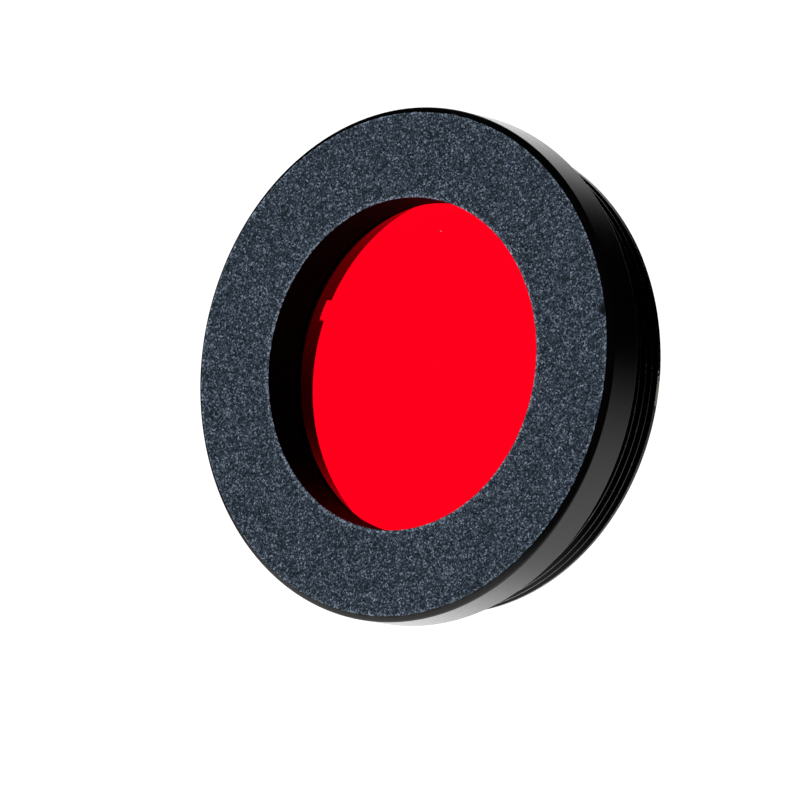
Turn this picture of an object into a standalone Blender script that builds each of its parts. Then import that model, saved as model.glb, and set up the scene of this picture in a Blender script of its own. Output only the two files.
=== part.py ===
"""Colour filter for a 1.25 inch telescope eyepiece.

Three pieces: a black aluminium cell, a red glass disc, and the slotted ring that holds the disc in the cell.

The optical axis is Y. The wide front face looks along -Y and the threaded eyepiece end along +Y.
The origin is on the axis, in the plane of the flange's rear face, where the filter seats on an eyepiece barrel.
Lengths below are in millimetres and are scaled to metres as each vertex is made.
"""

import math

import bmesh
import bpy

MM = 0.001
SEGMENTS = 72

# Flange: the wide, flat front of the cell.
FLANGE_RADIUS = 15.4
FLANGE_THICKNESS = 2.65
FACE_CHAMFER = 0.33
SEAT_EDGE_BREAK = 0.1
SEAT_INNER_RADIUS = 14.4
SEAT_FILLET = 0.05
APERTURE_RADIUS = 9.95
APERTURE_EDGE_BREAK = 0.08

# Eyepiece thread, M28.5 x 0.6: the standard outside thread of a 1.25 inch filter.
EYEPIECE_THREAD_CREST = 14.25
EYEPIECE_THREAD_ROOT = 13.88
EYEPIECE_THREAD_PITCH = 0.6
EYEPIECE_THREAD_START = 0.09
EYEPIECE_THREAD_ROWS = 10
BARREL_LENGTH = 3.95
BARREL_CHAMFER = 0.12

# Glass disc and the pocket it drops into from the rear.
POCKET_FLOOR = 0.1
POCKET_RADIUS = 12.65
GLASS_RADIUS = 12.45
GLASS_THICKNESS = 1.1
GLASS_CHAMFER = 0.15

# Retaining ring and its thread, M26 x 0.5, in the rear of the cell.
RING_HEIGHT = 2.35
RING_FRONT_BORE_RADIUS = 10.15
RING_REAR_BORE_RADIUS = 11.02
RING_THREAD_CREST = 12.95
RING_THREAD_ROOT = 12.68
RING_THREAD_PITCH = 0.5
RING_THREAD_LEAD_IN = 0.15
RING_THREAD_ROWS = 6
RING_CHAMFER = 0.15
CELL_THREAD_LEAD_IN = 0.05
CELL_THREAD_ROWS = 9
SLOT_WIDTH = 1.35
SLOT_DEPTH = 0.9
SLOT_TURN = math.radians(26.1)

# Gaps between the pieces.
SEAT_GAP = 0.05
THREAD_CLEARANCE = 0.05

# Places along the axis that follow from the sizes above.
FRONT_FACE = -FLANGE_THICKNESS
GLASS_FRONT = POCKET_FLOOR + SEAT_GAP
GLASS_REAR = GLASS_FRONT + GLASS_THICKNESS
RING_FRONT = GLASS_REAR + SEAT_GAP
RING_REAR = RING_FRONT + RING_HEIGHT
RING_THREAD_START = RING_FRONT + RING_THREAD_LEAD_IN
CELL_THREAD_START = RING_THREAD_START - RING_THREAD_PITCH
CELL_THREAD_CREST = RING_THREAD_ROOT + THREAD_CLEARANCE
CELL_THREAD_ROOT = RING_THREAD_CREST + THREAD_CLEARANCE


def clear_scene():
    for item in list(bpy.data.objects):
        bpy.data.objects.remove(item, do_unlink=True)


def make_material(name, colour, roughness, metallic):
    material = bpy.data.materials.new(name)
    material.use_nodes = True
    shader = material.node_tree.nodes["Principled BSDF"]
    shader.inputs["Base Color"].default_value = (*colour, 1.0)
    shader.inputs["Roughness"].default_value = roughness
    shader.inputs["Metallic"].default_value = metallic
    return material


def at_turn(radius, y, turn):
    """A point at this distance from the Y axis, turned about +Y by the right-hand rule, starting from +Z."""
    return (radius * math.sin(turn) * MM, y * MM, radius * math.cos(turn) * MM)


def add_circle(mesh, radius, y):
    turns = (math.tau * column / SEGMENTS for column in range(SEGMENTS))
    return [mesh.verts.new(at_turn(radius, y, turn)) for turn in turns]


def join_circles(mesh, low, high):
    for column in range(SEGMENTS):
        following = (column + 1) % SEGMENTS
        mesh.faces.new((low[column], low[following], high[following], high[column]))


def add_turned_stretch(mesh, first, outline):
    """Carry the surface on from a circle of vertices through each (radius, y) of an outline."""
    for radius, y in outline:
        circle = add_circle(mesh, radius, y)
        join_circles(mesh, first, circle)
        first = circle
    return first


def add_thread(mesh, low, high, start, pitch, rows, even_radius, odd_radius):
    """Fill the wall between two circles with a right-hand V thread.

    Rows of vertices climb half a pitch apart, at the two radii in turn. Each row climbs one pitch in a turn,
    so it meets the row two above it where the turn closes. The lower circle has the even radius, and the upper
    circle has the radius of the last row.
    """

    def vertex(column, row):
        radius = odd_radius if row % 2 else even_radius
        y = start + pitch * (column / SEGMENTS + row / 2)
        return mesh.verts.new(at_turn(radius, y, math.tau * column / SEGMENTS))

    columns = [[vertex(column, row) for row in range(rows + 1)] for column in range(SEGMENTS)]
    columns[0] += [vertex(0, rows + 1), vertex(0, rows + 2)]

    for column in range(SEGMENTS):
        closing = column == SEGMENTS - 1
        left = columns[column]
        right = columns[0][2:] if closing else columns[column + 1]
        for row in range(rows):
            mesh.faces.new((left[row], right[row], right[row + 1], left[row + 1]))

    first = columns[0]
    last = columns[-1]
    mesh.faces.new((first[0], first[1], first[2]))
    mesh.faces.new((first[rows], first[rows + 1], first[rows + 2]))
    for column in range(1, SEGMENTS - 1):
        left = columns[column]
        right = columns[column + 1]
        mesh.faces.new((low[column], low[column + 1], right[0], left[0]))
        mesh.faces.new((left[rows], right[rows], high[column + 1], high[column]))
    mesh.faces.new((low[0], low[1], columns[1][0], first[0]))
    mesh.faces.new((low[-1], low[0], first[0], first[2], last[0]))
    mesh.faces.new((first[rows], columns[1][rows], high[1], high[0], first[rows + 2]))
    mesh.faces.new((last[rows], first[rows + 2], high[0], high[-1]))


def make_object(name, mesh, material):
    """Turn a closed bmesh into a named object, shaded smooth with its edges kept sharp."""
    bmesh.ops.recalc_face_normals(mesh, faces=mesh.faces)
    data = bpy.data.meshes.new(name)
    mesh.to_mesh(data)
    mesh.free()
    data.shade_smooth()
    data.set_sharp_from_angle(angle=math.radians(30.0))
    data.materials.append(material)
    item = bpy.data.objects.new(name, data)
    bpy.context.collection.objects.link(item)
    return item


def make_cell():
    """The black body: flange, eyepiece thread outside, and glass pocket and ring thread inside."""
    mesh = bmesh.new()
    outside = [
        (APERTURE_RADIUS + APERTURE_EDGE_BREAK, FRONT_FACE),
        (FLANGE_RADIUS - FACE_CHAMFER, FRONT_FACE),
        (FLANGE_RADIUS, FRONT_FACE + FACE_CHAMFER),
        (FLANGE_RADIUS, -SEAT_EDGE_BREAK),
        (FLANGE_RADIUS - SEAT_EDGE_BREAK, 0.0),
        (SEAT_INNER_RADIUS, 0.0),
        (EYEPIECE_THREAD_ROOT, SEAT_FILLET),
    ]
    rear = [
        (EYEPIECE_THREAD_ROOT - BARREL_CHAMFER, BARREL_LENGTH),
        (CELL_THREAD_ROOT + BARREL_CHAMFER, BARREL_LENGTH),
        (CELL_THREAD_ROOT, BARREL_LENGTH - BARREL_CHAMFER),
    ]
    pocket = [
        (POCKET_RADIUS, CELL_THREAD_START - CELL_THREAD_LEAD_IN),
        (POCKET_RADIUS, POCKET_FLOOR),
        (APERTURE_RADIUS, POCKET_FLOOR),
    ]

    aperture_edge = add_circle(mesh, APERTURE_RADIUS, FRONT_FACE + APERTURE_EDGE_BREAK)
    thread_low = add_turned_stretch(mesh, aperture_edge, outside)
    thread_high = add_circle(mesh, EYEPIECE_THREAD_ROOT, BARREL_LENGTH - BARREL_CHAMFER)
    add_thread(
        mesh,
        thread_low,
        thread_high,
        EYEPIECE_THREAD_START,
        EYEPIECE_THREAD_PITCH,
        EYEPIECE_THREAD_ROWS,
        EYEPIECE_THREAD_ROOT,
        EYEPIECE_THREAD_CREST,
    )

    mouth = add_turned_stretch(mesh, thread_high, rear)
    thread_floor = add_circle(mesh, CELL_THREAD_CREST, CELL_THREAD_START - CELL_THREAD_LEAD_IN)
    add_thread(
        mesh,
        thread_floor,
        mouth,
        CELL_THREAD_START,
        RING_THREAD_PITCH,
        CELL_THREAD_ROWS,
        CELL_THREAD_CREST,
        CELL_THREAD_ROOT,
    )
    lip_rear_edge = add_turned_stretch(mesh, thread_floor, pocket)
    join_circles(mesh, lip_rear_edge, aperture_edge)
    return make_object("cell", mesh, make_material("black_anodised", (0.012, 0.013, 0.015), 0.42, 0.6))


def make_glass():
    """The coloured disc, with both rims chamfered."""
    mesh = bmesh.new()
    front = add_circle(mesh, GLASS_RADIUS - GLASS_CHAMFER, GLASS_FRONT)
    outline = [
        (GLASS_RADIUS, GLASS_FRONT + GLASS_CHAMFER),
        (GLASS_RADIUS, GLASS_REAR - GLASS_CHAMFER),
        (GLASS_RADIUS - GLASS_CHAMFER, GLASS_REAR),
    ]
    rear = add_turned_stretch(mesh, front, outline)
    mesh.faces.new(front)
    mesh.faces.new(rear)
    return make_object("glass_disc", mesh, make_material("red_glass", (0.8, 0.0, 0.01), 0.04, 0.0))


def make_slot_cutter():
    """A bar right across the ring's rear face, which cuts both spanner slots."""
    mesh = bmesh.new()
    bmesh.ops.create_cube(mesh, size=1.0)
    overshoot = 1.0
    length = 2.0 * (RING_THREAD_CREST + overshoot)
    height = SLOT_DEPTH + overshoot
    bmesh.ops.scale(mesh, vec=(length * MM, height * MM, SLOT_WIDTH * MM), verts=mesh.verts)
    data = bpy.data.meshes.new("slot_cutter")
    mesh.to_mesh(data)
    mesh.free()
    cutter = bpy.data.objects.new("slot_cutter", data)
    bpy.context.collection.objects.link(cutter)
    cutter.location = (0.0, (RING_REAR - SLOT_DEPTH + height / 2.0) * MM, 0.0)
    cutter.rotation_euler = (0.0, SLOT_TURN, 0.0)
    cutter.hide_render = True
    cutter.display_type = "WIRE"
    return cutter


def make_ring():
    """The retaining ring: threaded outside, flared bore, and two spanner slots in its rear face."""
    mesh = bmesh.new()
    front = add_circle(mesh, RING_FRONT_BORE_RADIUS, RING_FRONT)
    rear_bore = add_circle(mesh, RING_REAR_BORE_RADIUS, RING_REAR)
    join_circles(mesh, front, rear_bore)
    lead = [
        (RING_THREAD_ROOT - RING_CHAMFER, RING_FRONT),
        (RING_THREAD_ROOT, RING_FRONT + RING_CHAMFER / 2.0),
    ]
    thread_low = add_turned_stretch(mesh, front, lead)
    thread_high = add_circle(mesh, RING_THREAD_ROOT, RING_REAR - RING_CHAMFER)
    add_thread(
        mesh,
        thread_low,
        thread_high,
        RING_THREAD_START,
        RING_THREAD_PITCH,
        RING_THREAD_ROWS,
        RING_THREAD_ROOT,
        RING_THREAD_CREST,
    )
    rear_edge = add_circle(mesh, RING_THREAD_ROOT - RING_CHAMFER, RING_REAR)
    join_circles(mesh, thread_high, rear_edge)
    join_circles(mesh, rear_edge, rear_bore)
    ring = make_object("retaining_ring", mesh, make_material("ring_anodised", (0.014, 0.014, 0.016), 0.35, 0.6))

    slots = ring.modifiers.new("spanner_slots", "BOOLEAN")
    slots.operation = "DIFFERENCE"
    slots.solver = "EXACT"
    slots.object = make_slot_cutter()
    return ring


clear_scene()
make_cell()
make_glass()
make_ring()
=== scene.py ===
"""Looks of a red colour filter for a 1.25 inch telescope eyepiece.

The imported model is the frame. Its three nodes are replaced by finer pieces of the same size: the cell
with its blasted front face and cut threads, the red glass, and the slotted retaining ring. The optical
axis is Y, the front face looks along -Y, and lengths written in millimetres are scaled by MM.
"""

import math

import bmesh
import bpy
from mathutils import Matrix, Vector, noise


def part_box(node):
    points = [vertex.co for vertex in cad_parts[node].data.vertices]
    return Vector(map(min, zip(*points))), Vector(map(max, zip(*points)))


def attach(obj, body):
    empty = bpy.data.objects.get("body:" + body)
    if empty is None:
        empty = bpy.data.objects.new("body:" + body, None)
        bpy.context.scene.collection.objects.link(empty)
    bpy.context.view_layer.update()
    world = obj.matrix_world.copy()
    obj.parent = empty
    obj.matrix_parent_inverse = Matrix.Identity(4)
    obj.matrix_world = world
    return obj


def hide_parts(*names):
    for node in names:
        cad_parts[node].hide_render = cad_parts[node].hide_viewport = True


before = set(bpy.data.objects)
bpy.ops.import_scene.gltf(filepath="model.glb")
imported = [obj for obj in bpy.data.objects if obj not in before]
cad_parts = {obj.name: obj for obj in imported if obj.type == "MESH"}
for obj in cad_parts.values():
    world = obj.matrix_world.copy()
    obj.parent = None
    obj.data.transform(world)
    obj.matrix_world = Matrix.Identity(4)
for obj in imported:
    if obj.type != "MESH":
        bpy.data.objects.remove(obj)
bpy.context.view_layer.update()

MM = 0.001

# Sizes that the frame gives.
CELL_LOW, CELL_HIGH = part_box("cell")
GLASS_LOW, GLASS_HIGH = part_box("glass_disc")
RING_LOW, RING_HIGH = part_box("retaining_ring")
FLANGE_RADIUS = CELL_HIGH.z
FACE_Y = CELL_LOW.y
BARREL_END = CELL_HIGH.y
GLASS_RADIUS = GLASS_HIGH.z
RING_FRONT = RING_LOW.y
RING_REAR = RING_HIGH.y

# Flange and aperture.
FACE_CHAMFER = 0.33 * MM
SEAT_EDGE_BREAK = 0.06 * MM
SEAT_INNER_RADIUS = 14.4 * MM
APERTURE_RADIUS = 9.95 * MM
APERTURE_EDGE_BREAK = 0.04 * MM

# Eyepiece thread, M28.5 x 0.6. The phase is where turn 0 of its groove starts. The groove stops at its last
# turn, where it comes out of the barrel's rear face in a mouth. The mouth's width is a share of a turn.
OUTER_CREST = 14.25 * MM
OUTER_ROOT = 13.88 * MM
OUTER_PITCH = 0.6 * MM
OUTER_PHASE = 0.24 * MM
OUTER_START = 0.12 * MM
THREAD_FOOT = 0.06 * MM
BARREL_CHAMFER = 0.12 * MM
BARREL_EDGE_BREAK = 0.01 * MM
LAST_GROOVE = 5.52
GROOVE_MOUTH = 0.05

# Glass pocket, with the lip between its floor and the aperture.
POCKET_FLOOR = 0.10 * MM
POCKET_RADIUS = 12.65 * MM
POCKET_DEPTH = 0.90 * MM
POCKET_CORNER = 0.04 * MM
LIP_EDGE_BREAK = 0.03 * MM
GLASS_BEVEL = 0.15 * MM
GLASS_EDGE_BREAK = 0.02 * MM

# Retaining ring and its thread, M26 x 0.5. The cell's inside thread stands off it by the clearance.
RING_CREST = 12.95 * MM
RING_ROOT = 12.68 * MM
RING_PITCH = 0.5 * MM
RING_PHASE = 1.45 * MM
RING_FRONT_BORE = 10.15 * MM
RING_REAR_BORE = 11.02 * MM
RING_CHAMFER = 0.15 * MM
RING_BORE_BREAK = 0.04 * MM
THREAD_CLEARANCE = 0.05 * MM
SLOT_WIDTH = 1.35 * MM
SLOT_DEPTH = 0.90 * MM
SLOT_EDGE_BREAK = 0.05 * MM
SLOT_TURN = math.radians(26.1)

# Mesh fineness. A long wall gets a close row beside each end, so that it is shaded flat between bevels,
# and an edge sharper than the sharp angle is shaded as a corner.
CELL_COLUMNS = 600
RING_COLUMNS = 480
GLASS_COLUMNS = 256
FACE_ROWS = 48
LONG_WALL = 0.15 * MM
WALL_SUPPORT = 0.015 * MM
SHARP_ANGLE = math.radians(32.0)
GLASS_SHARP_ANGLE = math.radians(10.0)

# One pitch of a thread: (share of the pitch, height from root to crest), with flat crests.
FINE_PROFILE = (
    (0.0, 0.0),
    (0.085, 0.03),
    (0.415, 0.95),
    (0.45, 1.0),
    (0.55, 1.0),
    (0.585, 0.95),
    (0.915, 0.03),
)
PLAIN_PROFILE = ((0.07, 0.0), (0.43, 1.0), (0.57, 1.0), (0.93, 0.0))

# The blasted face's relief, the dent in its edge, the chips on the barrel's end, and the dust on the glass.
RELIEF_HEIGHT = 0.011 * MM
RELIEF_GRAIN = 0.24 * MM
EDGE_JITTER = 0.030 * MM
DENT_TURN = math.radians(82.8)
DENT_RADIUS = 0.34 * MM
DENT_DEPTH = 0.11 * MM
CHIPS_TURN = math.radians(98.6)
DUST_RADIUS = 8.28 * MM
DUST_TURN = math.radians(6.3)
DUST_SIZE = 0.045 * MM

# The camera stands in front, to the right and a little below, and looks up.
CAMERA_AZIMUTH = math.radians(37.03)
CAMERA_ELEVATION = math.radians(-8.4)
CAMERA_DISTANCE = 539.0 * MM
CAMERA_AIM_BELOW = 2.17 * MM
CAMERA_AIM_LEFT = 0.03 * MM
CAMERA_LENS = 408.9

FLOOR_HEIGHT = -120.0 * MM
FLOOR_RADIUS = 1.6
FLOOR_GLOW = 0.62

# The key light, in metres and watts.
KEY_DIRECTION = (0.10, -0.95, -0.30)
KEY_DISTANCE = 0.60
KEY_SIZE = 0.30
KEY_POWER = 4.8

# What the metal reflects. Each glow is a direction, the cosines of the angles from it at which the light
# starts and is full, and its strength. The last two shade the backdrop: it is dark outside the first of
# them and dimmed inside the second.
BACKDROP_GLOW = ((-0.83, 0.54, 0.13), 0.35, 0.86, 1.45)
SWEEP_GLOW = ((0.06, 0.55, -0.83), 0.37, 0.95, 0.93)
TABLE_GLOW = ((-0.67, -0.18, -0.72), 0.47, 0.90, 0.5)
BACKDROP_SIDE = ((0.79, 0.60, 0.0), -0.24, 0.0, 1.0)
BACKDROP_REAR = ((0.0, 1.0, 0.0), 0.82, 0.95, 0.93)
STUDIO_DARK = 0.002
WHITE_BACKGROUND = 1.15


# Meshes -------------------------------------------------------------------------------------------


def at_turn(radius, y, turn):
    """A point this far from the Y axis, turned about +Y by the right-hand rule, starting from +Z."""
    return (radius * math.sin(turn), y, radius * math.cos(turn))


class Shell:
    """Points and faces of one round piece, gathered circle by circle and then made into an object."""

    def __init__(self, columns):
        self.columns = columns
        self.points = []
        self.faces = []
        self.finishes = []

    def point(self, radius, y, turn):
        self.points.append(at_turn(radius, y, turn))
        return len(self.points) - 1

    def circle(self, radius, y):
        turns = (math.tau * column / self.columns for column in range(self.columns))
        return [self.point(radius, y, turn) for turn in turns]

    def face(self, corners, finish):
        distinct = [corner for place, corner in enumerate(corners) if corner != corners[place - 1]]
        if len(distinct) > 2:
            self.faces.append(distinct)
            self.finishes.append(finish)

    def join(self, low, high, finish):
        for column in range(self.columns):
            following = (column + 1) % self.columns
            self.face((low[column], low[following], high[following], high[column]), finish)

    def wall(self, low, high, finish):
        """Join two circles, with a close row beside each if the wall is long."""
        _, low_y, low_radius = self.points[low[0]]
        _, high_y, high_radius = self.points[high[0]]
        length = math.hypot(high_radius - low_radius, high_y - low_y)
        shares = (WALL_SUPPORT / length, 1.0 - WALL_SUPPORT / length) if length > LONG_WALL else ()
        for share in shares:
            radius = low_radius + (high_radius - low_radius) * share
            row = self.circle(radius, low_y + (high_y - low_y) * share)
            self.join(low, row, finish)
            low = row
        self.join(low, high, finish)

    def turned(self, first, outline, finish):
        """Carry the surface on from a circle through each (radius, y) of an outline."""
        for radius, y in outline:
            circle = self.circle(radius, y)
            self.wall(first, circle, finish)
            first = circle
        return first

    def thread(self, low, high, profile, pitch, phase, radius_at, finish, height_at=None):
        """Fill the wall between two circles with a right-hand thread, cut off square at both ends.

        Rows of points follow the helix, and those past an end fall together on its circle.
        radius_at gives the wall's radius from a height in the thread's profile and a place along the axis.
        height_at, if given, changes a height by how many turns the thread has made there.
        """
        low_y = self.points[low[0]][1]
        high_y = self.points[high[0]][1]
        per_pitch = len(profile)
        first_row = per_pitch * (math.floor((low_y - phase) / pitch) - 1)
        last_row = per_pitch * (math.ceil((high_y - phase) / pitch) + 1)

        def strand(column):
            turn = math.tau * column / self.columns
            rows = []
            for row in range(first_row, last_row + 1):
                share, height = profile[row % per_pitch]
                turns = turn / math.tau + row // per_pitch
                y = phase + pitch * (turns + share)
                if height_at is not None:
                    height = height_at(height, turns, share)
                if y <= low_y:
                    rows.append(low[column % self.columns])
                elif y >= high_y:
                    rows.append(high[column % self.columns])
                else:
                    rows.append(self.point(radius_at(height, y), y, turn))
            return rows

        # The last strand meets the first one again a pitch further on.
        strands = [strand(column) for column in range(self.columns)]
        closing = strands[0][per_pitch:] + [high[0]] * per_pitch
        for column in range(self.columns):
            left = strands[column]
            right = strands[column + 1] if column + 1 < self.columns else closing
            for row in range(len(left) - 1):
                self.face((left[row], right[row], right[row + 1], left[row + 1]), finish)

    def to_object(self, name, materials, sharp_angle=SHARP_ANGLE):
        data = bpy.data.meshes.new(name)
        data.from_pydata(self.points, [], self.faces)
        data.polygons.foreach_set("material_index", self.finishes)
        mesh = bmesh.new()
        mesh.from_mesh(data)
        bmesh.ops.recalc_face_normals(mesh, faces=mesh.faces)
        mesh.to_mesh(data)
        mesh.free()
        data.shade_smooth()
        data.set_sharp_from_angle(angle=sharp_angle)
        for material in materials:
            data.materials.append(material)
        item = bpy.data.objects.new(name, data)
        bpy.context.scene.collection.objects.link(item)
        return item


def smooth_step(low, high, value):
    share = min(1.0, max(0.0, (value - low) / (high - low)))
    return share * share * (3.0 - 2.0 * share)


# Materials ----------------------------------------------------------------------------------------


class Look:
    """A material and the nodes that feed its Principled shader."""

    def __init__(self, name, colour, roughness):
        self.material = bpy.data.materials.new(name)
        self.material.use_nodes = True
        self.tree = self.material.node_tree
        self.shader = self.tree.nodes["Principled BSDF"]
        self.shader.inputs["Base Color"].default_value = (*colour, 1.0)
        self.shader.inputs["Roughness"].default_value = roughness
        self.place = self.node("ShaderNodeTexCoord").outputs["Object"]

    def node(self, kind, inputs=(), **settings):
        made = self.tree.nodes.new(kind)
        for key, value in settings.items():
            setattr(made, key, value)
        for key, value in dict(inputs).items():
            if isinstance(value, bpy.types.NodeSocket):
                self.tree.links.new(value, made.inputs[key])
            else:
                made.inputs[key].default_value = value
        return made

    def feed(self, name, socket):
        self.tree.links.new(socket, self.shader.inputs[name])

    def maths(self, operation, first, second):
        return self.node("ShaderNodeMath", {0: first, 1: second}, operation=operation).outputs[0]

    def range(self, value, low, high, to_low=0.0, to_high=1.0):
        """A value carried smoothly from one range to another, and held at its ends."""
        inputs = {
            "Value": value,
            "From Min": low,
            "From Max": high,
            "To Min": to_low,
            "To Max": to_high,
        }
        return self.node("ShaderNodeMapRange", inputs, interpolation_type="SMOOTHSTEP").outputs["Result"]

    def noise(self, grain, detail=2.0, roughness=0.5, stretch=None):
        """Noise whose grains are about this size in metres."""
        place = self.place
        if stretch is not None:
            place = self.node("ShaderNodeMapping", {"Vector": place, "Scale": stretch}).outputs["Vector"]
        inputs = {
            "Vector": place,
            "Scale": 1.0 / grain,
            "Detail": detail,
            "Roughness": roughness,
        }
        return self.node("ShaderNodeTexNoise", inputs).outputs["Fac"]

    def cells(self, grain):
        """Random shade, and distance to the middle, in a pattern of cells of this size in metres."""
        found = self.node("ShaderNodeTexVoronoi", {"Vector": self.place, "Scale": 1.0 / grain})
        shade = self.node("ShaderNodeSeparateColor", {"Color": found.outputs["Color"]}).outputs["Red"]
        return shade, found.outputs["Distance"]

    def along_axis(self):
        return self.node("ShaderNodeSeparateXYZ", {"Vector": self.place}).outputs["Y"]

    def from_axis(self):
        inputs = {0: self.place, 1: (1.0, 0.0, 1.0)}
        flat = self.node("ShaderNodeVectorMath", inputs, operation="MULTIPLY").outputs["Vector"]
        return self.node("ShaderNodeVectorMath", {0: flat}, operation="LENGTH").outputs["Value"]

    def near(self, centre, reach):
        """1 at a place on the piece, falling to 0 at this distance from it."""
        inputs = {0: self.place, 1: centre}
        gap = self.node("ShaderNodeVectorMath", inputs, operation="DISTANCE").outputs["Value"]
        return self.range(gap, 0.0, reach, 1.0, 0.0)

    def ramp(self, value, *stops):
        """Colour from a ramp of (place, colour) stops."""
        made = self.node("ShaderNodeValToRGB", {"Fac": value})
        elements = made.color_ramp.elements
        while len(elements) < len(stops):
            elements.new(0.5)
        for element, (place, colour) in zip(elements, stops):
            element.position = place
            element.color = (*colour, 1.0)
        return made.outputs["Color"]

    def mix(self, share, first, second):
        """Colour mixed from two colours by a share, which is a socket."""
        made = self.node("ShaderNodeMix", data_type="RGBA")
        factor, start, end = made.inputs[0], made.inputs[6], made.inputs[7]
        self.tree.links.new(share, factor)
        start.default_value = (*first, 1.0)
        end.default_value = (*second, 1.0)
        return made.outputs[2]

    def bump(self, height, distance, strength=1.0, under=None):
        inputs = {"Height": height, "Distance": distance, "Strength": strength}
        if under is not None:
            inputs["Normal"] = under
        return self.node("ShaderNodeBump", inputs).outputs["Normal"]


THREAD_BLACK = (0.004, 0.004, 0.0045)
BARE_METAL = (0.90, 0.84, 0.74)


def make_blasted_look():
    """Bead-blasted black anodising: a bluish grey grain of small facets, whose lightest specks are painted
    glints.
    """
    look = Look("blasted_anodising", (0.05, 0.06, 0.075), 0.5)
    coarse = look.noise(0.26 * MM, detail=3.0, roughness=0.65)
    fine = look.noise(0.095 * MM, detail=1.0, roughness=0.6)
    shade, distance = look.cells(0.10 * MM)
    grain_and_painted_light = look.maths("ADD", look.maths("MULTIPLY", fine, 0.64), look.maths("MULTIPLY", shade, 0.32))
    grain_and_painted_light = look.maths("ADD", grain_and_painted_light, look.maths("MULTIPLY", coarse, 0.04))
    radius = look.from_axis()
    # Painted highlight: the grain is made lighter along the aperture's edge, where the edge catches light.
    # It is also made lighter towards the chamfer.
    painted_aperture_edge_highlight = look.range(radius, APERTURE_RADIUS + 0.10 * MM, APERTURE_RADIUS + 0.28 * MM, 0.10, 0.0)
    outer_edge = look.range(radius, FLANGE_RADIUS - 0.58 * MM, FLANGE_RADIUS - FACE_CHAMFER, 0.0, 0.08)
    grain_and_painted_light = look.maths("ADD", grain_and_painted_light, look.maths("ADD", painted_aperture_edge_highlight, outer_edge))
    # Painted shade: the grain is made darker in and around the dent in the face's edge.
    painted_dent_shade = look.near(at_turn(FLANGE_RADIUS - FACE_CHAMFER, FACE_Y, DENT_TURN), 1.5 * DENT_RADIUS)
    grain_and_painted_light = look.maths("SUBTRACT", grain_and_painted_light, look.maths("MULTIPLY", painted_dent_shade, 0.6))
    # The lower stops are the grain's own tone; the two lightest stops are painted glints of the blasted
    # facets.
    colour = look.ramp(
        grain_and_painted_light,
        (0.32, (0.014, 0.019, 0.025)),
        (0.50, (0.056, 0.078, 0.109)),
        (0.63, (0.148, 0.200, 0.276)),
        (0.75, (0.590, 0.710, 0.880)),
    )
    look.feed("Base Color", colour)
    look.shader.inputs["Specular IOR Level"].default_value = 0.15
    look.feed("Roughness", look.range(shade, 0.0, 1.0, 0.42, 0.62))
    pits = look.bump(distance, 0.04 * MM, 0.5)
    look.feed("Normal", look.bump(fine, 0.06 * MM, 0.9, under=pits))
    return look.material


def make_satin_look():
    """The turned rim: smooth satin black, with faint lathe lines and a very fine grain."""
    look = Look("satin_anodising", (0.0035, 0.0035, 0.004), 0.3)
    grain = look.noise(0.09 * MM, detail=2.0)
    lines = look.noise(0.05 * MM, detail=1.0, stretch=(0.004, 1.0, 0.004))
    look.feed("Roughness", look.range(grain, 0.3, 0.7, 0.16, 0.26))
    grained = look.bump(grain, 0.003 * MM, 0.6)
    look.feed("Normal", look.bump(lines, 0.003 * MM, 0.5, under=grained))
    return look.material


def make_thread_look():
    """The eyepiece thread: glossy black, rubbed along its crests and chipped to bare metal at its rear."""
    look = Look("thread_anodising", THREAD_BLACK, 0.3)
    patches = look.noise(0.9 * MM, detail=4.0, roughness=0.65)
    specks = look.noise(0.16 * MM, detail=3.0, roughness=0.6)
    crest = look.range(look.from_axis(), OUTER_CREST - 0.05 * MM, OUTER_CREST)
    rubbed = look.maths("MULTIPLY", crest, look.range(specks, 0.52, 0.72))
    rubbed = look.maths("MULTIPLY", rubbed, look.range(patches, 0.45, 0.65, 0.0, 0.5))
    outside = look.range(look.from_axis(), OUTER_CREST - 0.14 * MM, OUTER_CREST - 0.06 * MM)
    rear = look.range(look.along_axis(), BARREL_END - 0.30 * MM, BARREL_END - 0.20 * MM)
    land = look.maths("MULTIPLY", outside, rear)
    chips = look.near(at_turn(OUTER_CREST, BARREL_END, CHIPS_TURN), 1.9 * MM)
    chips = look.maths("ADD", look.maths("MULTIPLY", chips, 0.55), specks)
    chips = look.maths("MULTIPLY", look.range(chips, 0.78, 0.86), land)
    bare = look.maths("MAXIMUM", chips, rubbed)
    look.feed("Base Color", look.mix(bare, THREAD_BLACK, BARE_METAL))
    look.feed("Metallic", look.maths("MULTIPLY", bare, 0.5))
    smooth = look.range(specks, 0.3, 0.7, 0.20, 0.32)
    look.feed("Roughness", look.maths("ADD", smooth, look.maths("MULTIPLY", chips, 0.3)))
    look.feed("Normal", look.bump(specks, 0.003 * MM, 0.6))
    return look.material


def make_bore_look():
    """The aperture wall, the pocket and the inside thread: black, fairly smooth, with turning lines."""
    look = Look("bore_anodising", (0.0015, 0.0015, 0.0018), 0.34)
    look.shader.inputs["Specular IOR Level"].default_value = 0.02
    grain = look.noise(0.12 * MM, detail=2.0)
    lines = look.noise(0.07 * MM, detail=1.0, stretch=(0.004, 1.0, 0.004))
    look.feed("Roughness", look.range(grain, 0.3, 0.7, 0.50, 0.64))
    grained = look.bump(grain, 0.003 * MM, 0.5)
    look.feed("Normal", look.bump(lines, 0.005 * MM, 0.5, under=grained))
    return look.material


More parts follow.
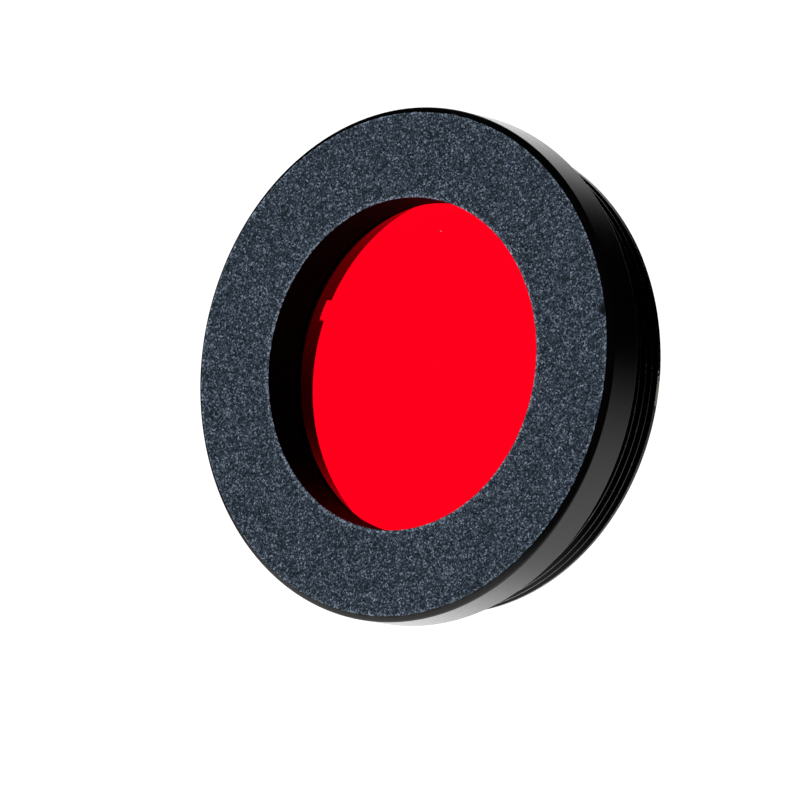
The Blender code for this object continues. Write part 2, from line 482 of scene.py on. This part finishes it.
def make_ring_look():
    """The retaining ring: satin black with turning lines."""
    look = Look("ring_anodising", (0.0045, 0.0045, 0.005), 0.34)
    grain = look.noise(0.12 * MM, detail=3.0)
    facing = look.node(
        "ShaderNodeTexNoise",
        {"W": look.from_axis(), "Scale": 1.0 / (0.06 * MM), "Detail": 1.0},
        noise_dimensions="1D",
    ).outputs["Fac"]
    look.feed("Roughness", look.range(grain, 0.3, 0.7, 0.27, 0.42))
    grained = look.bump(grain, 0.004 * MM, 0.5)
    look.feed("Normal", look.bump(facing, 0.004 * MM, 0.5, under=grained))
    return look.material


def make_glass_look():
    """Deep red glass with polished faces."""
    look = Look("red_glass", (1.0, 0.0, 0.011), 0.0)
    look.shader.inputs["IOR"].default_value = 1.52
    look.shader.inputs["Transmission Weight"].default_value = 1.0
    return look.material


def make_ground_edge_look():
    """The glass's ground edge: the same red, frosted."""
    look = Look("ground_glass_edge", (0.75, 0.0, 0.012), 0.6)
    look.shader.inputs["IOR"].default_value = 1.52
    look.shader.inputs["Transmission Weight"].default_value = 1.0
    grit = look.noise(0.08 * MM, detail=3.0, roughness=0.7)
    look.feed("Normal", look.bump(grit, 0.02 * MM, 0.8))
    return look.material


def make_dust_look():
    """Dust on the glass: matt, nearly white."""
    look = Look("dust", (0.8, 0.76, 0.74), 0.9)
    fluff = look.noise(0.02 * MM, detail=3.0)
    look.feed("Base Color", look.ramp(fluff, (0.3, (0.55, 0.5, 0.48)), (0.7, (0.9, 0.88, 0.86))))
    return look.material


# Pieces -------------------------------------------------------------------------------------------


BLASTED, SATIN, THREAD, BORE = range(4)
POLISHED, GROUND, DUST = range(3)


def face_relief(x, z):
    """Height of the blasted relief at a place on the front face, from -1 to 1."""
    place = Vector((x / RELIEF_GRAIN, 7.3, z / RELIEF_GRAIN))
    return noise.noise(place) + 0.6 * noise.noise(place * 2.1)


def dent(x, y, z):
    """How deep the dent in the face's edge is at a place, from 0 to 1."""
    centre = Vector(at_turn(FLANGE_RADIUS - FACE_CHAMFER, FACE_Y, DENT_TURN))
    gap = (Vector((x, y, z)) - centre).length
    return 1.0 - smooth_step(0.0, DENT_RADIUS, gap)


def add_blasted_face(shell, first):
    """The front face, from the aperture out to the chamfer, with its relief and its uneven outer edge."""
    inner = APERTURE_RADIUS + APERTURE_EDGE_BREAK
    outer = FLANGE_RADIUS - FACE_CHAMFER
    for row in range(FACE_ROWS + 1):
        share = row / FACE_ROWS
        circle = []
        for column in range(shell.columns):
            turn = math.tau * column / shell.columns
            radius = inner + (outer - inner) * share
            x, y, z = at_turn(radius, FACE_Y, turn)
            if row == FACE_ROWS:
                jitter = noise.noise(Vector((x, 0.0, z)) / (0.30 * MM))
                radius += EDGE_JITTER * (jitter - 0.5)
            edge = smooth_step(0.0, 0.04, share) * smooth_step(0.0, 0.03, 1.0 - share)
            y += RELIEF_HEIGHT * (1.0 - face_relief(x, z)) * edge
            y += DENT_DEPTH * dent(x, y, z)
            circle.append(shell.point(radius, y, turn))
        shell.join(first, circle, BLASTED)
        first = circle
    return first


def end_of_groove(height, turns, share):
    """The eyepiece thread's height near its end, where the groove opens to the barrel's rear face.

    The groove stops after LAST_GROOVE turns, and leaves the rest of the barrel's end at full size. There it
    has a mouth that runs straight out to the rear face.
    """
    before_groove = share > 0.5
    beyond = turns + before_groove - LAST_GROOVE
    if beyond <= 0.0:
        return height
    if beyond % 1.0 >= GROOVE_MOUTH:
        return 1.0
    return height if before_groove and beyond < GROOVE_MOUTH else 0.0


def make_cell():
    """The metal body: from the aperture's edge over the front, back along the outside, and in again."""
    shell = Shell(CELL_COLUMNS)
    step = FACE_CHAMFER / 3.0
    seat_break = SEAT_EDGE_BREAK * 0.3

    aperture_edge = shell.circle(APERTURE_RADIUS, FACE_Y + APERTURE_EDGE_BREAK)
    face_edge = add_blasted_face(shell, aperture_edge)
    rim = [
        (FLANGE_RADIUS - 2.0 * step, FACE_Y + step),
        (FLANGE_RADIUS - step, FACE_Y + 2.0 * step),
        (FLANGE_RADIUS - 0.02 * MM, FACE_Y + FACE_CHAMFER - 0.02 * MM),
        (FLANGE_RADIUS, FACE_Y + FACE_CHAMFER + 0.03 * MM),
        (FLANGE_RADIUS, -SEAT_EDGE_BREAK),
        (FLANGE_RADIUS - seat_break, -seat_break),
        (FLANGE_RADIUS - SEAT_EDGE_BREAK, 0.0),
    ]
    seat_edge = shell.turned(face_edge, rim, SATIN)
    seat_inner = shell.turned(seat_edge, [(SEAT_INNER_RADIUS, 0.0)], SATIN)
    foot = [
        (OUTER_ROOT + THREAD_FOOT, 0.01 * MM),
        (OUTER_ROOT, THREAD_FOOT),
        (OUTER_ROOT, OUTER_START),
    ]
    thread_foot = shell.turned(seat_inner, foot, THREAD)
    thread_end = []
    for column in range(CELL_COLUMNS):
        share = column / CELL_COLUMNS
        in_mouth = (share - LAST_GROOVE) % 1.0 < GROOVE_MOUTH
        end_radius = OUTER_ROOT if in_mouth else OUTER_CREST - BARREL_EDGE_BREAK
        thread_end.append(shell.point(end_radius, BARREL_END, math.tau * share))

    def outer_wall(height, y):
        run_in = OUTER_ROOT + (y - OUTER_START)
        return min(OUTER_ROOT + (OUTER_CREST - OUTER_ROOT) * height, run_in)

    shell.thread(
        thread_foot,
        thread_end,
        FINE_PROFILE,
        OUTER_PITCH,
        OUTER_PHASE,
        outer_wall,
        THREAD,
        height_at=end_of_groove,
    )

    rear = BARREL_END - BARREL_CHAMFER
    inner_root = RING_CREST + THREAD_CLEARANCE
    inner_crest = RING_ROOT + THREAD_CLEARANCE
    mouth = shell.turned(thread_end, [(inner_root + BARREL_CHAMFER, BARREL_END)], THREAD)
    mouth = shell.turned(mouth, [(inner_root, rear)], BORE)
    thread_low = shell.circle(inner_crest, POCKET_DEPTH)

    def inner_wall(height, y):
        cut = inner_root - (inner_root - inner_crest) * (1.0 - height)
        lead_in = inner_crest + (y - rear) + 0.1 * MM
        return max(cut, lead_in)

    shell.thread(thread_low, mouth, PLAIN_PROFILE, RING_PITCH, RING_PHASE, inner_wall, BORE)
    pocket = [
        (POCKET_RADIUS, POCKET_DEPTH),
        (POCKET_RADIUS, POCKET_FLOOR + POCKET_CORNER),
        (POCKET_RADIUS - POCKET_CORNER, POCKET_FLOOR),
        (APERTURE_RADIUS + LIP_EDGE_BREAK, POCKET_FLOOR),
        (APERTURE_RADIUS, POCKET_FLOOR - LIP_EDGE_BREAK),
    ]
    lip_edge = shell.turned(thread_low, pocket, BORE)
    shell.wall(lip_edge, aperture_edge, BORE)
    looks = [make_blasted_look(), make_satin_look(), make_thread_look(), make_bore_look()]
    cell = shell.to_object("filter_cell", looks)
    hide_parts("cell")
    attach(cell, "cell")


def add_dust(shell, radius, turn, size):
    """A crumb of dust on the glass's front face: an uneven base, and a smaller top lifted off it."""
    middle = Vector(at_turn(radius, GLASS_LOW.y, turn))
    sides = 7
    crumb = []
    for side in range(sides):
        angle = math.tau * side / sides
        reach = size * (1.0 + 0.45 * noise.noise(Vector((side * 1.7, radius / MM, turn))))
        crumb.append(middle + Vector((reach * math.sin(angle), 0.0, reach * math.cos(angle))))
    start = len(shell.points)
    lift = Vector((0.0, -0.35 * size, 0.0))
    shell.points += [tuple(point - lift * 0.02) for point in crumb]
    shell.points += [tuple(middle + (point - middle) * 0.55 + lift) for point in crumb]
    for side in range(sides):
        following = (side + 1) % sides
        shell.face((start + side, start + following, start + sides + following, start + sides + side), DUST)
    shell.face(tuple(start + side for side in range(sides)), DUST)
    shell.face(tuple(start + sides + side for side in range(sides)), DUST)


def make_glass():
    """The red disc: polished faces and a ground, chamfered edge."""
    shell = Shell(GLASS_COLUMNS)
    front_y = GLASS_LOW.y
    rear_y = GLASS_HIGH.y
    soft = GLASS_EDGE_BREAK
    front = shell.circle(GLASS_RADIUS - GLASS_BEVEL - soft, front_y)
    edge = [
        (GLASS_RADIUS - GLASS_BEVEL, front_y + 0.3 * soft),
        (GLASS_RADIUS - soft, front_y + GLASS_BEVEL - soft),
        (GLASS_RADIUS, front_y + GLASS_BEVEL + soft),
        (GLASS_RADIUS, rear_y - GLASS_BEVEL - soft),
        (GLASS_RADIUS - soft, rear_y - GLASS_BEVEL + soft),
        (GLASS_RADIUS - GLASS_BEVEL, rear_y - 0.3 * soft),
        (GLASS_RADIUS - GLASS_BEVEL - soft, rear_y),
    ]
    rear = shell.turned(front, edge, GROUND)
    shell.face(tuple(front), POLISHED)
    shell.face(tuple(rear), POLISHED)
    add_dust(shell, DUST_RADIUS, DUST_TURN, DUST_SIZE)
    looks = [make_glass_look(), make_ground_edge_look(), make_dust_look()]
    glass = shell.to_object("red_glass_disc", looks, sharp_angle=GLASS_SHARP_ANGLE)
    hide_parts("glass_disc")
    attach(glass, "glass")


def make_slot_cutter():
    """A bar right across the ring's rear face, wider above the face so that the slots' edges are broken."""
    half = SLOT_WIDTH / 2.0
    above = 0.5 * MM
    flare = half + SLOT_EDGE_BREAK + above
    section = (
        (-half, RING_REAR - SLOT_DEPTH),
        (half, RING_REAR - SLOT_DEPTH),
        (half, RING_REAR - SLOT_EDGE_BREAK),
        (flare, RING_REAR + above),
        (-flare, RING_REAR + above),
        (-half, RING_REAR - SLOT_EDGE_BREAK),
    )
    reach = FLANGE_RADIUS
    mesh = bmesh.new()
    near = [mesh.verts.new((-reach, y, z)) for z, y in section]
    far = [mesh.verts.new((reach, y, z)) for z, y in section]
    for corner in range(len(section)):
        following = (corner + 1) % len(section)
        mesh.faces.new((near[corner], near[following], far[following], far[corner]))
    mesh.faces.new(near)
    mesh.faces.new(far)
    bmesh.ops.recalc_face_normals(mesh, faces=mesh.faces)
    data = bpy.data.meshes.new("slot_cutter")
    mesh.to_mesh(data)
    mesh.free()
    cutter = bpy.data.objects.new("slot_cutter", data)
    bpy.context.scene.collection.objects.link(cutter)
    cutter.rotation_euler = (0.0, SLOT_TURN, 0.0)
    return cutter


def make_ring():
    """The retaining ring: flared bore, thread outside, and two spanner slots in its rear face."""
    shell = Shell(RING_COLUMNS)
    front_edge = shell.circle(RING_FRONT_BORE, RING_FRONT + RING_BORE_BREAK)
    thread_y = RING_FRONT + RING_CHAMFER / 2.0
    lead = [
        (RING_FRONT_BORE + RING_BORE_BREAK, RING_FRONT),
        (RING_ROOT - RING_CHAMFER, RING_FRONT),
        (RING_ROOT, thread_y),
    ]
    thread_low = shell.turned(front_edge, lead, 0)
    rear = RING_REAR - RING_CHAMFER
    thread_high = shell.circle(RING_ROOT, rear)

    def wall(height, y):
        cut = RING_ROOT + (RING_CREST - RING_ROOT) * height
        return min(cut, RING_ROOT + (y - thread_y), RING_ROOT + (rear - y))

    shell.thread(thread_low, thread_high, PLAIN_PROFILE, RING_PITCH, RING_PHASE, wall, 0)
    tail = [
        (RING_ROOT - RING_CHAMFER, RING_REAR),
        (RING_REAR_BORE + RING_BORE_BREAK, RING_REAR),
        (RING_REAR_BORE, RING_REAR - RING_BORE_BREAK),
    ]
    rear_edge = shell.turned(thread_high, tail, 0)
    shell.wall(rear_edge, front_edge, 0)
    ring = shell.to_object("slotted_ring", [make_ring_look()])

    slots = ring.modifiers.new("spanner_slots", "BOOLEAN")
    slots.operation = "DIFFERENCE"
    slots.solver = "EXACT"
    cutter = make_slot_cutter()
    slots.object = cutter
    graph = bpy.context.evaluated_depsgraph_get()
    cut = bpy.data.meshes.new_from_object(ring.evaluated_get(graph))
    ring.modifiers.clear()
    ring.data = cut
    cut.set_sharp_from_angle(angle=SHARP_ANGLE)
    bpy.data.objects.remove(cutter, do_unlink=True)
    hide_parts("retaining_ring")
    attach(ring, "ring")


# Studio -------------------------------------------------------------------------------------------


def make_world():
    """White where it is seen directly, and soft glows in the dark for what the black metal reflects."""
    world = bpy.data.worlds.new("studio")
    world.use_nodes = True
    tree = world.node_tree
    tree.nodes.clear()
    output = tree.nodes.new("ShaderNodeOutputWorld")
    sky = tree.nodes.new("ShaderNodeBackground")
    tree.links.new(sky.outputs["Background"], output.inputs["Surface"])
    direction = tree.nodes.new("ShaderNodeTexCoord").outputs["Generated"]

    def maths(operation, first, second):
        made = tree.nodes.new("ShaderNodeMath")
        made.operation = operation
        for socket, value in zip(made.inputs, (first, second)):
            if isinstance(value, bpy.types.NodeSocket):
                tree.links.new(value, socket)
            else:
                socket.default_value = value
        return made.outputs[0]

    def glow(centre, edge, core, strength):
        """Light around a direction, from none at the edge's cosine to full strength at the core's."""
        dot = tree.nodes.new("ShaderNodeVectorMath")
        dot.operation = "DOT_PRODUCT"
        tree.links.new(direction, dot.inputs[0])
        dot.inputs[1].default_value = Vector(centre).normalized()
        fall = tree.nodes.new("ShaderNodeMapRange")
        fall.interpolation_type = "SMOOTHSTEP"
        tree.links.new(dot.outputs["Value"], fall.inputs["Value"])
        for key, value in (("From Min", edge), ("From Max", core), ("To Max", strength)):
            fall.inputs[key].default_value = value
        return fall.outputs["Result"]

    backdrop = glow(*BACKDROP_GLOW)
    sweep = glow(*SWEEP_GLOW)
    table = glow(*TABLE_GLOW)
    beside = glow(*BACKDROP_SIDE)
    behind = maths("SUBTRACT", 1.0, glow(*BACKDROP_REAR))
    backdrop = maths("MULTIPLY", backdrop, maths("MULTIPLY", beside, behind))
    studio = maths("ADD", maths("ADD", backdrop, sweep), maths("ADD", table, STUDIO_DARK))

    paths = tree.nodes.new("ShaderNodeLightPath")
    bounces = maths("ADD", paths.outputs["Glossy Depth"], paths.outputs["Diffuse Depth"])
    straight = maths("MAXIMUM", paths.outputs["Is Camera Ray"], paths.outputs["Is Transmission Ray"])
    seen = maths("MULTIPLY", straight, maths("LESS_THAN", bounces, 0.5))
    white = maths("MULTIPLY", seen, WHITE_BACKGROUND)
    rest = maths("MULTIPLY", maths("SUBTRACT", 1.0, seen), studio)
    tree.links.new(maths("ADD", white, rest), sky.inputs["Strength"])
    sky.inputs["Color"].default_value = (1.0, 1.0, 1.0, 1.0)
    bpy.context.scene.world = world


def make_light(name, direction, distance, size, power):
    """A square softbox that faces the part from a direction, and isn't seen in reflections."""
    data = bpy.data.lights.new(name, "AREA")
    data.shape = "SQUARE"
    data.size = size
    data.energy = power
    lamp = bpy.data.objects.new(name, data)
    bpy.context.scene.collection.objects.link(lamp)
    away = Vector(direction).normalized()
    lamp.location = away * distance
    lamp.rotation_mode = "QUATERNION"
    lamp.rotation_quaternion = away.to_track_quat("Z", "Y")
    lamp.visible_glossy = False


def make_floor():
    """A plain pale floor well below the part, which its thread holds up.

    It has some light of its own, and isn't seen in reflections.
    """
    mesh = bmesh.new()
    bmesh.ops.create_circle(mesh, cap_ends=True, segments=96, radius=FLOOR_RADIUS)
    data = bpy.data.meshes.new("floor")
    mesh.to_mesh(data)
    mesh.free()
    look = Look("pale_floor", (0.86, 0.86, 0.86), 0.8)
    look.shader.inputs["Emission Color"].default_value = (1.0, 1.0, 1.0, 1.0)
    look.shader.inputs["Emission Strength"].default_value = FLOOR_GLOW
    data.materials.append(look.material)
    floor = bpy.data.objects.new("floor", data)
    bpy.context.scene.collection.objects.link(floor)
    floor.location = (0.0, 0.0, FLOOR_HEIGHT)
    floor.visible_glossy = False
    floor.visible_diffuse = False


def make_camera():
    data = bpy.data.cameras.new("camera")
    data.sensor_width = 36.0
    data.lens = CAMERA_LENS
    data.clip_start = 0.01
    data.clip_end = 10.0
    camera = bpy.data.objects.new("camera", data)
    bpy.context.scene.collection.objects.link(camera)
    level = math.cos(CAMERA_ELEVATION)
    back = Vector(
        (math.sin(CAMERA_AZIMUTH) * level, -math.cos(CAMERA_AZIMUTH) * level, math.sin(CAMERA_ELEVATION))
    )
    turn = (-back).to_track_quat("-Z", "Y")
    aim = Vector((0.0, FACE_Y, 0.0)) - turn @ Vector((CAMERA_AIM_LEFT, CAMERA_AIM_BELOW, 0.0))
    camera.rotation_mode = "QUATERNION"
    camera.rotation_quaternion = turn
    camera.location = aim + back * CAMERA_DISTANCE
    bpy.context.scene.camera = camera


def make_studio():
    make_world()
    make_light("key", KEY_DIRECTION, KEY_DISTANCE, KEY_SIZE, KEY_POWER)
    make_floor()
    make_camera()
    bpy.context.scene.view_settings.view_transform = "Standard"


make_studio()
make_cell()
make_glass()
make_ring()
